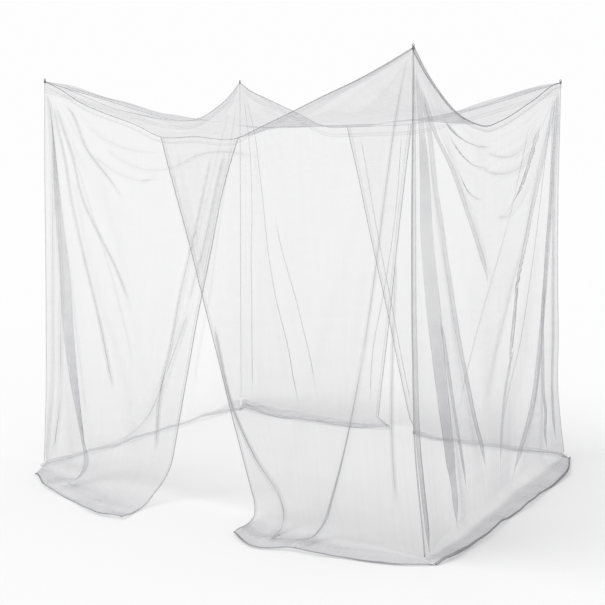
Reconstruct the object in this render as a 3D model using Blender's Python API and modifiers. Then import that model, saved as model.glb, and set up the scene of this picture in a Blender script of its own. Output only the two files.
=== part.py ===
"""Four-point mosquito net canopy, hung by its corners and puddled on the floor.

A maker cuts a roof, one panel for each short side and two overlapping curtains for each long
side. The panels hang from a heading tape sewn round the roof, and a loop is sewn to each corner.
Sizes are metres, +Z is up and +X runs along the long sides. The cloth sheets are grids bent to
their hanging shape and then given their thickness.
"""

import math
from collections import namedtuple

import bmesh
import bpy
import numpy as np
from mathutils import Vector

for old in list(bpy.data.objects):
    bpy.data.objects.remove(old, do_unlink=True)

# ---------------------------------------------------------------- driving sizes
LENGTH = 2.12  # roof, along X
WIDTH = 1.62  # roof, along Y
CLOTH = 0.0015  # thickness of the net sheet
TAPE_THICK = 0.0020
TAPE_DEPTH = {"front": 0.024, "back": 0.055, "left": 0.050, "right": 0.024}
TAPE_STANDS_OFF = 0.012  # tape's middle, outside the wall
TAPE_BELOW_SEAM = 0.006
ROOF_INSET = 0.004  # roof stops short of the walls
WALL_BELOW_SEAM = 0.006  # walls stop short of the roof
CORNER_INSET = 0.004  # walls stop short of each other at the corner seams
FLOOR_CLEAR = CLOTH / 2 + 0.0002  # height of the middle of a sheet that lies on the floor

LOOP_RADIUS = 0.0048  # middle of the cord loop at each corner
LOOP_CORD = 0.0014  # radius of the cord itself
LOOP_ABOVE = 0.0020  # gap between the sheets' corner and the loop

# ---------------------------------------------------------------- seams of the roof
# Each seam hangs between two corners: share of its length, height.
SEAM_FRONT = [(0.0, 1.955), (0.055, 1.915), (0.14, 1.836), (0.22, 1.782), (0.31, 1.726), (0.37, 1.677),
              (0.48, 1.670), (0.594, 1.664), (0.64, 1.700), (0.72, 1.763), (0.80, 1.828), (0.88, 1.889),
              (0.96, 1.960), (1.0, 2.000)]
SEAM_BACK = [(0.0, 2.045), (0.035, 1.995), (0.09, 1.945), (0.20, 1.850), (0.31, 1.756), (0.39, 1.751),
             (0.48, 1.755), (0.58, 1.761), (0.72, 1.814), (0.88, 1.898), (1.0, 1.960)]
SEAM_LEFT = [(0.0, 1.955), (0.26, 1.888), (0.43, 1.837), (0.61, 1.792), (0.68, 1.789), (0.78, 1.821),
             (0.84, 1.865), (0.94, 1.960), (1.0, 2.045)]
SEAM_RIGHT = [(0.0, 2.000), (0.04, 1.940), (0.11, 1.858), (0.21, 1.772), (0.33, 1.725), (0.40, 1.715),
              (0.52, 1.748), (0.72, 1.840), (0.94, 1.946), (1.0, 1.960)]
ROOF_LEVEL = 1.725  # the nearly flat middle of the roof
ROOF_PULL = 0.33  # how far from a seam its height still shows

Wall = namedtuple("Wall", "start along outward length seam")
WALLS = {
    "front": Wall((-LENGTH / 2, -WIDTH / 2), (1, 0), (0, -1), LENGTH, SEAM_FRONT),
    "back": Wall((-LENGTH / 2, WIDTH / 2), (1, 0), (0, 1), LENGTH, SEAM_BACK),
    "left": Wall((-LENGTH / 2, -WIDTH / 2), (0, 1), (-1, 0), WIDTH, SEAM_LEFT),
    "right": Wall((LENGTH / 2, -WIDTH / 2), (0, 1), (1, 0), WIDTH, SEAM_RIGHT),
}

# ---------------------------------------------------------------- panels
# A station is one thread of a panel, top to bottom. seam, foot and hem say where along the wall it
# starts, meets the floor and ends; reach is how far its hem lies outside the wall's plane (inside
# where it is negative); bend is the radius in which it turns onto the floor; flare is how far
# outside the plane it comes down.
Station = namedtuple("Station", "seam foot hem reach bend flare")
Panel = namedtuple("Panel", "name wall layer sweep corner stations")
PANELS = [
    Panel("front_left_curtain", "front", 0.010, 0.85, "first", [
        Station(0.00, 0.00, 0.09, 0.15, 0.04, 0.000),
        Station(0.25, 0.17, 0.25, 0.235, 0.11, 0.010),
        Station(0.60, 0.42, 0.52, 0.305, 0.17, 0.015),
        Station(0.95, 0.66, 0.75, 0.355, 0.20, 0.015),
        Station(1.265, 0.84, 0.885, 0.345, 0.22, 0.010)]),
    Panel("front_right_curtain", "front", -0.010, 1.00, "last", [
        Station(0.80, 1.345, 1.39, 0.22, 0.10, 0.000),
        Station(1.02, 1.45, 1.52, 0.285, 0.14, 0.010),
        Station(1.34, 1.60, 1.68, 0.225, 0.11, 0.010),
        Station(1.62, 1.78, 1.83, 0.205, 0.10, 0.010),
        Station(1.88, 1.97, 2.02, 0.135, 0.06, 0.005),
        Station(2.12, 2.12, 2.185, 0.034, 0.012, 0.000)]),
    Panel("back_left_curtain", "back", -0.010, 1.00, "first", [
        Station(0.00, 0.00, 0.16, -0.20, 0.04, 0.000),
        Station(0.35, 0.30, 0.40, -0.21, 0.07, -0.02),
        Station(0.65, 0.56, 0.63, -0.20, 0.06, -0.02),
        Station(0.95, 0.80, 0.90, -0.17, 0.06, -0.02),
        Station(1.24, 1.03, 1.15, -0.06, 0.04, 0.000)]),
    Panel("back_right_curtain", "back", 0.010, 1.00, "last", [
        Station(0.80, 1.24, 1.31, -0.11, 0.06, 0.000),
        Station(1.10, 1.40, 1.47, -0.13, 0.06, -0.02),
        Station(1.45, 1.60, 1.64, -0.12, 0.05, -0.02),
        Station(1.80, 1.86, 1.86, -0.08, 0.03, 0.000),
        Station(2.12, 2.12, 2.09, -0.05, 0.02, 0.000)]),
    Panel("left_side", "left", 0.000, 1.00, "both", [
        Station(0.00, 0.00, 0.03, -0.04, 0.02, 0.000),
        Station(0.30, 0.29, 0.29, -0.07, 0.03, 0.000),
        Station(0.65, 0.64, 0.64, -0.08, 0.05, -0.01),
        Station(0.90, 0.89, 0.89, -0.10, 0.06, -0.02),
        Station(1.25, 1.23, 1.21, -0.12, 0.07, -0.02),
        Station(1.62, 1.62, 1.42, -0.16, 0.03, 0.000)]),
    Panel("right_side", "right", 0.000, 1.00, "both", [
        Station(0.00, 0.00, -0.012, 0.066, 0.012, 0.000),
        Station(0.25, 0.26, 0.26, 0.145, 0.05, 0.035),
        Station(0.60, 0.60, 0.60, 0.150, 0.05, 0.040),
        Station(1.00, 0.98, 1.00, 0.150, 0.06, 0.010),
        Station(1.35, 1.33, 1.33, 0.145, 0.06, 0.010),
        Station(1.62, 1.62, 1.55, 0.060, 0.02, 0.000)]),
]
COLUMNS = 20  # cells across a panel
HANG_ROWS, BEND_ROWS, FLOOR_ROWS = 8, 3, 2
ROWS = HANG_ROWS + BEND_ROWS + FLOOR_ROWS
RAMP = 0.30  # length over which layers part and folds rise from a seam or a corner
TOP_LAYER = 0.3  # share of a layer's offset that it already has at the seam

# ---------------------------------------------------------------- main folds
# A fold is a ridge (or a trough where depth is negative) along a path of (along, height) points,
# from top to bottom. Heights below zero lie on the floor. It widens from narrow to wide.
Fold = namedtuple("Fold", "wall depth narrow wide path")
FOLDS = [
    Fold("front", 0.020, 0.04, 0.06, [(0.06, 1.70), (0.07, 1.00), (0.04, 0.10)]),
    Fold("front", 0.030, 0.04, 0.08, [(0.10, 1.60), (0.16, 0.95), (0.23, 0.50), (0.30, 0.05), (0.36, -0.15)]),
    Fold("front", -0.022, 0.05, 0.09, [(0.17, 1.65), (0.28, 1.04), (0.52, 0.49), (0.60, 0.10)]),
    Fold("front", 0.018, 0.05, 0.09, [(0.20, 1.80), (0.36, 1.60), (0.59, 1.30)]),
    Fold("front", 0.022, 0.05, 0.08, [(2.06, 1.80), (1.95, 1.07), (1.80, 0.33), (1.68, -0.08)]),
    Fold("front", -0.020, 0.05, 0.08, [(1.90, 1.60), (1.60, 0.70), (1.42, 0.10)]),
    Fold("right", 0.028, 0.04, 0.08, [(0.05, 1.75), (0.11, 1.20), (0.19, 0.71), (0.30, 0.09)]),
    Fold("right", -0.024, 0.05, 0.08, [(0.16, 1.60), (0.32, 1.16), (0.50, 0.65), (0.62, 0.25)]),
    Fold("right", 0.022, 0.05, 0.09, [(0.20, 1.68), (0.46, 1.30), (0.66, 1.00)]),
    Fold("right", -0.022, 0.05, 0.09, [(1.45, 1.70), (1.21, 1.21), (0.95, 0.80), (0.76, 0.50)]),
    Fold("right", 0.028, 0.05, 0.08, [(1.52, 1.70), (1.41, 1.15), (1.30, 0.76), (1.08, 0.16)]),
    Fold("right", -0.018, 0.04, 0.06, [(1.54, 1.50), (1.42, 0.90), (1.44, 0.30), (1.40, 0.05)]),
    Fold("back", 0.018, 0.04, 0.07, [(0.08, 1.70), (0.08, 0.90), (0.09, 0.05)]),
    Fold("back", -0.020, 0.05, 0.08, [(0.13, 1.64), (0.24, 0.98), (0.39, 0.43), (0.52, 0.03)]),
    Fold("back", 0.022, 0.05, 0.08, [(2.02, 1.70), (1.96, 0.90), (1.80, 0.10)]),
    Fold("back", -0.018, 0.05, 0.08, [(1.85, 1.60), (1.70, 0.90), (1.55, 0.10)]),
    Fold("left", 0.022, 0.05, 0.08, [(0.10, 1.70), (0.20, 1.00), (0.32, 0.10)]),
    Fold("left", -0.020, 0.05, 0.09, [(0.30, 1.60), (0.52, 0.90), (0.66, 0.15)]),
    Fold("left", 0.022, 0.05, 0.09, [(1.48, 1.65), (1.36, 0.90), (1.15, 0.10)]),
    Fold("left", -0.018, 0.05, 0.08, [(1.30, 1.50), (1.05, 0.80), (0.92, 0.15)]),
]


# ---------------------------------------------------------------- corner pulls
# Everything near a corner is drawn gently out of line: height, move along X, move along Y.
Pull = namedtuple("Pull", "x_side y_side rows")
PULLS = [
    Pull(-1, -1, [(0.0, -0.020, 0.0), (0.33, 0.000, 0.0), (0.84, 0.012, 0.0), (1.60, 0.014, 0.004),
                  (1.95, 0.018, 0.008)]),
    Pull(1, -1, [(0.0, 0.050, 0.012), (0.10, 0.044, 0.005), (0.24, 0.030, 0.0), (0.40, 0.012, 0.0),
                 (0.80, -0.004, 0.0), (2.00, -0.010, 0.0)]),
    Pull(1, 1, [(0.0, 0.020, 0.040), (0.17, 0.005, 0.020), (0.39, 0.0, -0.020), (0.61, 0.0, -0.020),
                (0.96, 0.0, -0.045), (1.45, -0.004, -0.045), (1.80, -0.010, -0.018), (1.95, -0.012, -0.010)]),
]
PULL_SPREAD = 0.20  # how far from a corner its pull still shows


def pulled(place):
    """A place after the corner pulls, in the roof's own plan."""
    move_x, move_y = 0.0, 0.0
    for pull in PULLS:
        away = math.hypot(place.x - pull.x_side * LENGTH / 2, place.y - pull.y_side * WIDTH / 2)
        weight = math.exp(-((away / PULL_SPREAD) ** 2))
        move_x += weight * through([(row[0], row[1]) for row in pull.rows], place.z)
        move_y += weight * through([(row[0], row[2]) for row in pull.rows], place.z)
    return place + Vector((move_x, move_y, 0.0))


def through(rows, at):
    """Value at a place on a smooth line through (place, value) rows."""
    places, values = np.array(rows, float).T
    slopes = np.gradient(values, places)
    at = min(max(at, places[0]), places[-1])
    i = min(max(int(np.searchsorted(places, at, side="right")) - 1, 0), len(places) - 2)
    step = places[i + 1] - places[i]
    f = (at - places[i]) / step
    value = (2 * f**3 - 3 * f**2 + 1) * values[i] + (3 * f**2 - 2 * f**3) * values[i + 1]
    return value + step * ((f**3 - 2 * f**2 + f) * slopes[i] + (f**3 - f**2) * slopes[i + 1])


def eased(share):
    """0 to 1, flat at both ends."""
    share = min(max(share, 0.0), 1.0)
    return share * share * (3 - 2 * share)


def station_at(panel, across):
    """The panel's thread at a share of its width, between the stations of its table."""
    rows = panel.stations
    seam = rows[0].seam + across * (rows[-1].seam - rows[0].seam)
    values = [through([(row.seam, row[i]) for row in rows], seam) for i in range(1, len(Station._fields))]
    return Station(seam, *values)


def from_corner(panel, across):
    """0 at a corner seam of the panel, 1 away from it."""
    width = panel.stations[-1].seam - panel.stations[0].seam
    near = [across] if panel.corner in ("first", "both") else []
    near += [1 - across] if panel.corner in ("last", "both") else []
    return eased(min(near) * width / RAMP)


def fold_offset(wall_name, along, height):
    """How far the folds of a wall push its cloth outwards at a place."""
    total = 0.0
    for fold in FOLDS:
        if fold.wall != wall_name:
            continue
        top, bottom = fold.path[0][1], fold.path[-1][1]
        run = (top - height) / (top - bottom)
        if not -0.15 < run < 1.15:
            continue
        middle = through([(-h, a) for a, h in fold.path], -height)
        width = fold.narrow + (fold.wide - fold.narrow) * min(max(run, 0.0), 1.0)
        fade = eased((run + 0.15) / 0.3) * eased((1.15 - run) / 0.3)
        total += fold.depth * fade * math.exp(-(((along - middle) / width) ** 2))
    return total


def panel_point(panel, across, down):
    """Place of a panel's cloth: across its width and down its length, both as shares."""
    wall = WALLS[panel.wall]
    at = station_at(panel, across)
    top = through(wall.seam, at.seam / wall.length) - WALL_BELOW_SEAM
    side = 1 if at.reach > 0 else -1
    bend = min(at.bend, abs(at.reach) - 0.012)
    floor_run = abs(at.reach - at.flare) - bend
    hang = top - FLOOR_CLEAR - bend
    marks = (0.0, hang, hang + bend * math.pi / 2, hang + bend * math.pi / 2 + floor_run)
    rows = (0.0, HANG_ROWS, HANG_ROWS + BEND_ROWS, ROWS)
    length = float(np.interp(down * ROWS, rows, marks))
    angle = min(max((length - hang) / bend, 0.0), math.pi / 2)
    lying = max(length - marks[2], 0.0)
    out = side * (bend * (1 - math.cos(angle)) + lying)
    height = top - min(length, hang) - bend * math.sin(angle)
    fall = min(length / (hang + bend), 1.0)
    along = at.seam + (at.foot - at.seam) * fall**panel.sweep
    along += (at.hem - at.foot) * max(length - hang, 0.0) / (marks[3] - hang)
    clear = from_corner(panel, across)
    away = eased(length / RAMP)
    out += at.flare * fall**3 + panel.layer * clear * (TOP_LAYER + (1 - TOP_LAYER) * away)
    push = fold_offset(panel.wall, along, height - lying) * away * clear
    share_overlapped = overlapped(panel, along, height)
    push *= 1 - 0.8 * share_overlapped
    out += push * math.cos(angle)
    height += abs(push) * 0.4 * math.sin(angle)
    inset = CORNER_INSET * min(max(1 - 2 * across, -1), 1)
    place = Vector((*wall.start, height))
    place += Vector((*wall.along, 0)) * (along + inset)
    place += Vector((*wall.outward, 0)) * out
    return pulled(place)


def overlapped(panel, along, height):
    """1 where the two curtains of a long side pass each other, easing to 0 beside that."""
    if panel.wall not in ("front", "back"):
        return 0.0
    return eased((along - 0.70) / 0.15) * eased((1.35 - along) / 0.15) * eased((height - 0.2) / 0.4)


def roof_point(across, deep):
    """Place of the roof's cloth: across its length and back through its width, both as shares."""
    edges = [
        (deep * WIDTH, through(SEAM_FRONT, across)),
        ((1 - deep) * WIDTH, through(SEAM_BACK, across)),
        (across * LENGTH, through(SEAM_LEFT, deep)),
        ((1 - across) * LENGTH, through(SEAM_RIGHT, deep)),
    ]
    weights = [1 / max(away, 0.002) ** 2 for away, _ in edges]
    middle = 1 / ROOF_PULL**2
    height = sum(w * h for w, (_, h) in zip(weights, edges)) + middle * ROOF_LEVEL
    height /= sum(weights) + middle
    x = (across - 0.5) * (LENGTH - 2 * ROOF_INSET)
    y = (deep - 0.5) * (WIDTH - 2 * ROOF_INSET)
    return pulled(Vector((x, y, height)))


def tape_point(wall_name, across, down):
    """Place of the heading tape: along its wall and down its depth, both as shares."""
    wall = WALLS[wall_name]
    top = through(wall.seam, across) - TAPE_BELOW_SEAM
    along = TAPE_STANDS_OFF + across * (wall.length - 2 * TAPE_STANDS_OFF)
    place = Vector((*wall.start, top - down * TAPE_DEPTH[wall_name]))
    place += Vector((*wall.along, 0)) * along + Vector((*wall.outward, 0)) * TAPE_STANDS_OFF
    return pulled(place)


# ---------------------------------------------------------------- building
def material(name, colour, roughness):
    made = bpy.data.materials.new(name)
    made.use_nodes = True
    shader = made.node_tree.nodes["Principled BSDF"]
    shader.inputs["Base Color"].default_value = (*colour, 1)
    shader.inputs["Roughness"].default_value = roughness
    shader.inputs["Metallic"].default_value = 0.0
    return made


NET = material("white_net", (0.86, 0.86, 0.87), 0.85)
WEBBING = material("white_tape", (0.80, 0.80, 0.81), 0.80)
CORD = material("grey_cord", (0.42, 0.42, 0.43), 0.75)

canopy = bpy.data.collections.new("mosquito_net_canopy")
bpy.context.scene.collection.children.link(canopy)


def sheet(name, columns, rows, place, thickness, finish):
    """A grid bent to place(across, down), then thickened about its middle."""
    bm = bmesh.new()
    bmesh.ops.create_grid(bm, x_segments=columns, y_segments=rows, size=0.5)
    for vert in bm.verts:
        vert.co = place(vert.co.x + 0.5, 0.5 - vert.co.y)
    mesh = bpy.data.meshes.new(name)
    bm.to_mesh(mesh)
    bm.free()
    mesh.materials.append(finish)
    mesh.shade_smooth()
    piece = bpy.data.objects.new(name, mesh)
    canopy.objects.link(piece)
    skin = piece.modifiers.new("thickness", "SOLIDIFY")
    skin.thickness = thickness
    skin.offset = 0.0
    return piece


def hanging_loop(name, x, y, height):
    """A small upright cord loop just above a corner, open from front to back."""
    corner = pulled(Vector((x, y, height)))
    bpy.ops.mesh.primitive_torus_add(
        major_segments=16, minor_segments=6, major_radius=LOOP_RADIUS, minor_radius=LOOP_CORD,
        location=(corner.x, corner.y, height + LOOP_ABOVE + LOOP_RADIUS + LOOP_CORD), rotation=(math.pi / 2, 0, 0))
    loop = bpy.context.object
    loop.name = name
    loop.data.materials.append(CORD)
    loop.data.shade_smooth()
    for home in list(loop.users_collection):
        home.objects.unlink(loop)
    canopy.objects.link(loop)
    return loop


sheet("roof_panel", 18, 14, roof_point, CLOTH, NET)

for panel in PANELS:
    def place(across, down, panel=panel):
        return panel_point(panel, across, down)
    sheet(panel.name, COLUMNS, ROWS, place, CLOTH, NET)

for wall_name in WALLS:
    def place(across, down, wall_name=wall_name):
        return tape_point(wall_name, across, down)
    sheet(f"{wall_name}_heading_tape", 20, 1, place, TAPE_THICK, WEBBING)

for name, x_side, y_side, seam, end in (
        ("loop_front_left", -1, -1, SEAM_FRONT, 0.0), ("loop_front_right", 1, -1, SEAM_FRONT, 1.0),
        ("loop_back_left", -1, 1, SEAM_BACK, 0.0), ("loop_back_right", 1, 1, SEAM_BACK, 1.0)):
    hanging_loop(name, x_side * LENGTH / 2, y_side * WIDTH / 2, through(seam, end))

# ---------------------------------------------------------------- origin
# The origin goes under the middle of the whole net, on the floor.
bpy.context.view_layer.update()
graph = bpy.context.evaluated_depsgraph_get()
corners = []
for piece in canopy.objects:
    shown = piece.evaluated_get(graph)
    corners += [piece.matrix_world @ vert.co for vert in shown.data.vertices]
low = Vector(min(c[i] for c in corners) for i in range(3))
high = Vector(max(c[i] for c in corners) for i in range(3))
to_origin = Vector((-(low.x + high.x) / 2, -(low.y + high.y) / 2, -low.z))
for piece in canopy.objects:
    piece.location += to_origin
print("size", [round(v, 4) for v in high - low], "moved by", [round(v, 4) for v in to_origin])
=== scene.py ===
# %% [markdown]
# # A box mosquito net, hung by its four corners
#
# The real object is a bed net sewn from very fine knitted polyester. A roof and six hanging panels
# meet along sewn seams, a heading tape runs round under the roof, and a cord loop on each corner
# holds it up. The cloth is so light that it hangs in long thin pleats that fan out from the
# corners, and it lies in a shallow puddle on the floor.
#
# The frame already has each piece as a plain solid. Here every sheet is made again as a fine grid
# on the same shape, with its small pleats, and gets a see-through finish.

# %% Tools and frame
import math
from collections import namedtuple
from functools import partial

import bmesh
import bpy
import numpy as np
from mathutils import Matrix, Vector


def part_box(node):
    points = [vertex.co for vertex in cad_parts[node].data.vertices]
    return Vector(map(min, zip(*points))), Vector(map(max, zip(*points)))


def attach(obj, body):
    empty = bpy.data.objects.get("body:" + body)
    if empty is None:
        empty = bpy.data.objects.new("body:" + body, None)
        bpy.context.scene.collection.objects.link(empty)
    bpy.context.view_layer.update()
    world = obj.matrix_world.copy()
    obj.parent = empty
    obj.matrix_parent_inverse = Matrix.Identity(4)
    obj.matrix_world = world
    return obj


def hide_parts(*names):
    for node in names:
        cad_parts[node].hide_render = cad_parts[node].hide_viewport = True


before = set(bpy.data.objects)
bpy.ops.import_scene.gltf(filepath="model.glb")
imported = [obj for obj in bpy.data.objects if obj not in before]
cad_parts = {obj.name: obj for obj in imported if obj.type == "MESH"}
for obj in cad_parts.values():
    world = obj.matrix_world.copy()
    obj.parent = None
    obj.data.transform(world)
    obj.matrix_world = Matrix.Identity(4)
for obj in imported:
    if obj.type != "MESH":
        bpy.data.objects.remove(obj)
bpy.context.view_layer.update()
scene = bpy.context.scene
print("frame nodes:", len(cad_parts))

# %% [markdown]
# ## Sizes
#
# The roof's own box in the frame says where the net stands. All walls are measured the same way: a
# wall starts at one corner, runs along its seam, and has an outward side. A place on a wall is then
# two plain numbers, how far along it is and how high.

# %% Where the net stands
ROOF_INSET = 0.004  # the roof stops this far inside the walls
SEAM_GAP = 0.006  # walls hang this far below the roof's edge
CORNER_GAP = 0.004  # walls stop this far from the corner seams
FLOOR_GAP = 0.001  # a sheet on the floor is this far above it

roof_low, roof_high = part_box("roof_panel")
LENGTH = roof_high.x - roof_low.x + 2 * ROOF_INSET
WIDTH = roof_high.y - roof_low.y + 2 * ROOF_INSET
MIDDLE = Vector(((roof_low.x + roof_high.x) / 2, (roof_low.y + roof_high.y) / 2, 0.0))
print("plan of the roof:", round(LENGTH, 3), "by", round(WIDTH, 3), "m")

# %% [markdown]
# ## Seams of the roof
#
# Each seam is a slack line between two corners. A few rows of share and height are enough, because
# a smooth line is drawn through them.

# %% Seam heights
SEAM_FRONT = [(0.0, 1.955), (0.055, 1.915), (0.14, 1.836), (0.22, 1.782), (0.31, 1.726), (0.37, 1.677),
              (0.48, 1.670), (0.594, 1.664), (0.64, 1.700), (0.72, 1.763), (0.80, 1.828), (0.88, 1.889),
              (0.96, 1.960), (1.0, 2.000)]
SEAM_BACK = [(0.0, 2.045), (0.035, 1.995), (0.09, 1.945), (0.20, 1.850), (0.31, 1.756), (0.39, 1.751),
             (0.48, 1.755), (0.58, 1.761), (0.72, 1.814), (0.88, 1.898), (1.0, 1.960)]
SEAM_LEFT = [(0.0, 1.955), (0.26, 1.888), (0.43, 1.837), (0.61, 1.792), (0.68, 1.789), (0.78, 1.821),
             (0.84, 1.865), (0.94, 1.960), (1.0, 2.045)]
SEAM_RIGHT = [(0.0, 2.000), (0.04, 1.940), (0.11, 1.858), (0.21, 1.772), (0.33, 1.725), (0.40, 1.715),
              (0.52, 1.748), (0.72, 1.840), (0.94, 1.946), (1.0, 1.960)]
ROOF_LEVEL = 1.725  # the nearly flat middle of the roof
ROOF_PULL = 0.33  # how far from a seam its height still shows

Wall = namedtuple("Wall", "start along outward length seam")
WALLS = {
    "front": Wall((-LENGTH / 2, -WIDTH / 2), (1, 0), (0, -1), LENGTH, SEAM_FRONT),
    "back": Wall((-LENGTH / 2, WIDTH / 2), (1, 0), (0, 1), LENGTH, SEAM_BACK),
    "left": Wall((-LENGTH / 2, -WIDTH / 2), (0, 1), (-1, 0), WIDTH, SEAM_LEFT),
    "right": Wall((LENGTH / 2, -WIDTH / 2), (0, 1), (1, 0), WIDTH, SEAM_RIGHT),
}
print("lowest seam:", min(height for wall in WALLS.values() for _, height in wall.seam))


# %% Named rows, smooth lines and easing
def named(kind, table):
    """A table with its plain rows turned into rows of one kind, whose numbers have names."""
    return {name: [kind(*row) for row in rows] for name, rows in table.items()}


def through(rows, at):
    """Values at places on a smooth line through (place, value) rows."""
    places, values = np.array(rows, float).T
    slopes = np.gradient(values, places)
    at = np.clip(at, places[0], places[-1])
    i = np.clip(np.searchsorted(places, at, side="right") - 1, 0, len(places) - 2)
    step = places[i + 1] - places[i]
    f = (at - places[i]) / step
    value = (2 * f**3 - 3 * f**2 + 1) * values[i] + (3 * f**2 - 2 * f**3) * values[i + 1]
    return value + step * ((f**3 - 2 * f**2 + f) * slopes[i] + (f**3 - f**2) * slopes[i + 1])


def eased(share):
    """0 to 1, flat at both ends."""
    share = np.clip(share, 0.0, 1.0)
    return share * share * (3 - 2 * share)


def uneven(x, y, size, turn):
    """A soft, irregular rise and fall, about -1 to 1, with hollows about size apart."""
    total = 0.0
    for i in range(6):
        angle = turn + 2.4 * i
        wave = size * (0.75 + 0.13 * i)
        total = total + np.sin(math.tau * (x * math.cos(angle) + y * math.sin(angle)) / wave + 1.7 * i * i)
    return total / 3


# %% [markdown]
# ## Panels
#
# A panel is described by a few of its threads, the stations. Each row says where along the wall
# the thread starts at the seam, where it meets the floor and where it ends, how far its hem lies
# outside the wall, how softly it turns onto the floor and how far outside the wall it comes down.

# %% Stations of each panel
Station = namedtuple("Station", "seam foot hem reach bend flare")
Panel = namedtuple("Panel", "name wall layer sweep corner stations")
PANELS = [Panel(*row[:-1], [Station(*line) for line in row[-1]]) for row in [
    ("front_left_curtain", "front", 0.010, 0.85, "first", [
        (0.00, 0.00, 0.09, 0.15, 0.04, 0.000),
        (0.25, 0.17, 0.25, 0.235, 0.11, 0.010),
        (0.60, 0.42, 0.52, 0.305, 0.17, 0.015),
        (0.95, 0.66, 0.75, 0.355, 0.20, 0.015),
        (1.265, 0.84, 0.885, 0.345, 0.22, 0.010)]),
    ("front_right_curtain", "front", -0.010, 1.00, "last", [
        (0.80, 1.345, 1.39, 0.22, 0.10, 0.000),
        (1.02, 1.45, 1.52, 0.285, 0.14, 0.010),
        (1.34, 1.60, 1.68, 0.225, 0.11, 0.010),
        (1.62, 1.78, 1.83, 0.205, 0.10, 0.010),
        (1.88, 1.97, 2.02, 0.135, 0.06, 0.005),
        (2.12, 2.12, 2.185, 0.030, 0.018, 0.000)]),
    ("back_left_curtain", "back", -0.010, 1.00, "first", [
        (0.00, 0.00, 0.15, -0.20, 0.012, 0.000),
        (0.35, 0.30, 0.40, -0.21, 0.07, -0.02),
        (0.65, 0.56, 0.63, -0.20, 0.06, -0.02),
        (0.95, 0.80, 0.90, -0.17, 0.06, -0.02),
        (1.24, 1.03, 1.15, -0.06, 0.04, 0.000)]),
    ("back_right_curtain", "back", 0.010, 1.00, "last", [
        (0.80, 1.24, 1.31, -0.11, 0.06, 0.000),
        (1.10, 1.40, 1.47, -0.13, 0.06, -0.02),
        (1.45, 1.60, 1.64, -0.12, 0.05, -0.02),
        (1.80, 1.86, 1.86, -0.08, 0.03, 0.000),
        (2.12, 2.12, 2.16, -0.055, 0.012, 0.000)]),
    ("left_side", "left", 0.000, 1.00, "both", [
        (0.00, 0.00, -0.06, -0.04, 0.02, 0.000),
        (0.30, 0.29, 0.29, -0.07, 0.03, 0.000),
        (0.65, 0.64, 0.64, -0.08, 0.05, -0.01),
        (0.90, 0.89, 0.89, -0.10, 0.06, -0.02),
        (1.25, 1.23, 1.21, -0.12, 0.07, -0.02),
        (1.62, 1.62, 1.41, -0.17, 0.012, 0.000)]),
    ("right_side", "right", 0.000, 1.00, "both", [
        (0.00, 0.00, -0.030, 0.066, 0.012, 0.000),
        (0.25, 0.26, 0.26, 0.145, 0.05, 0.035),
        (0.60, 0.60, 0.60, 0.150, 0.05, 0.040),
        (1.00, 0.98, 1.00, 0.150, 0.06, 0.010),
        (1.35, 1.33, 1.33, 0.145, 0.06, 0.010),
        (1.62, 1.62, 1.57, 0.055, 0.012, 0.000)]),
]]
COLUMNS = {"front": 310, "right": 310, "left": 190, "back": 210}  # cells across a panel
HANG_ROWS, BEND_ROWS, FLOOR_ROWS = 224, 22, 28
CROWDED = 1.45  # above 1, rows lie closer together near the seam
ROWS = HANG_ROWS + BEND_ROWS + FLOOR_ROWS
RAMP = 0.30  # length over which the layers part and the broad folds rise
TOP_LAYER = 0.3  # share of a layer's offset that it already has at the seam
print("panels:", ", ".join(panel.name for panel in PANELS))

# %% [markdown]
# ## Broad folds
#
# A broad fold is a soft ridge, or a trough where its depth is negative. It follows a path of
# (along, height) points from top to bottom and grows wider on its way down. Heights below zero lie
# on the floor.

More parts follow.
